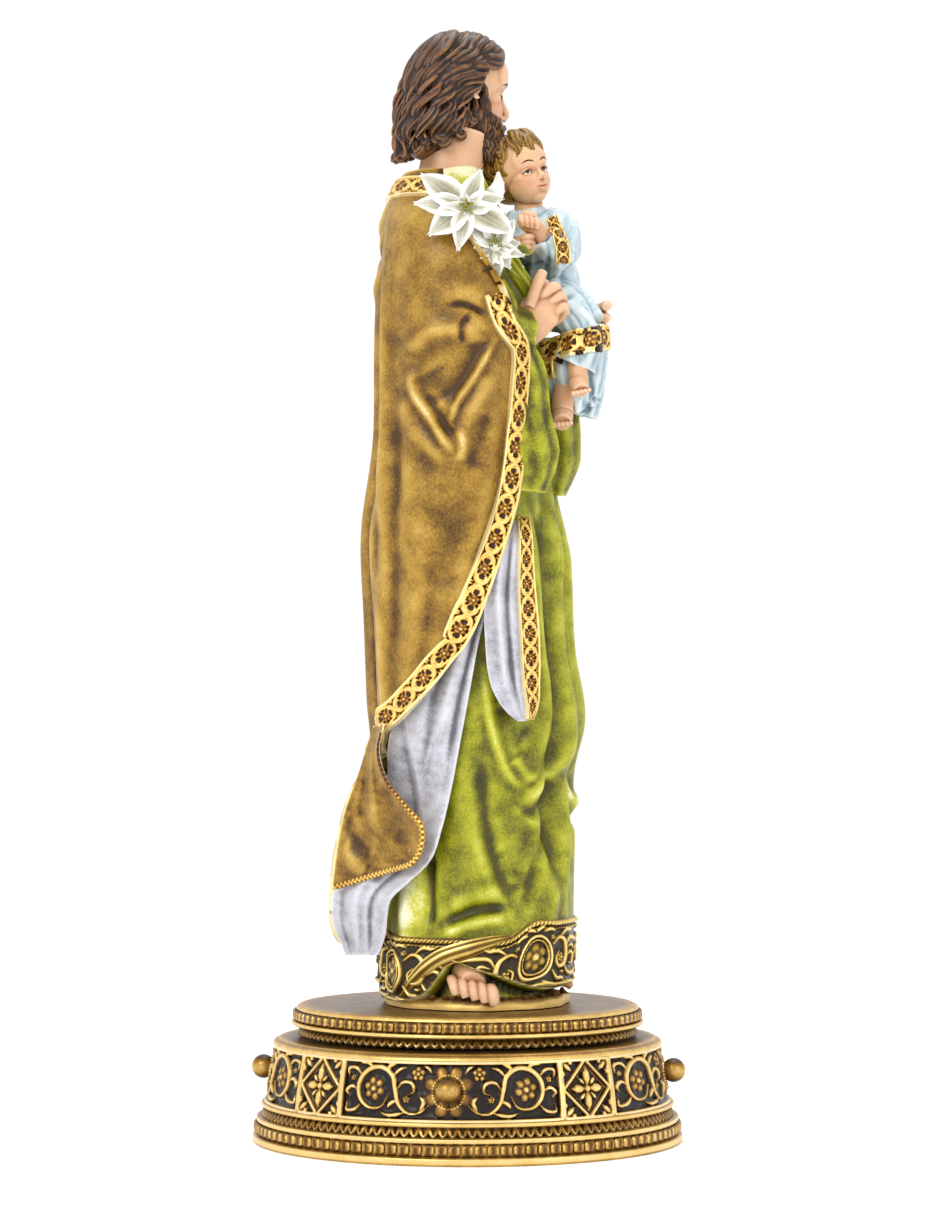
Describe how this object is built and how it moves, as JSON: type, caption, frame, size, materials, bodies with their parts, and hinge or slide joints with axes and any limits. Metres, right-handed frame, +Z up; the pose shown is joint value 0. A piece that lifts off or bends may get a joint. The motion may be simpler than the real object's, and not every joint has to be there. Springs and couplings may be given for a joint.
{
  "type": "religious statue",
  "caption": "Painted cast-resin figure of a bearded robed saint carrying a child and lilies, on a round gilt plinth with a beaded relief drum.",
  "frame": {"origin": "middle of the round base's flat underside", "axes": "+Z up along the figure, +X the way the saint faces, +Y to the saint's left"},
  "size_m": [0.118, 0.118, 0.3044],
  "materials": {
    "gilt_resin": "antique gold paint with a dark wash in the recesses",
    "painted_resin": "hand-painted cast resin in ochre, green, pale blue and skin tones with brushed highlights"
  },
  "bodies": {
    "root": {"base_drum": "gilt_resin", "stand_disc": "gilt_resin", "figure": "painted_resin"}
  },
  "joints": []
}
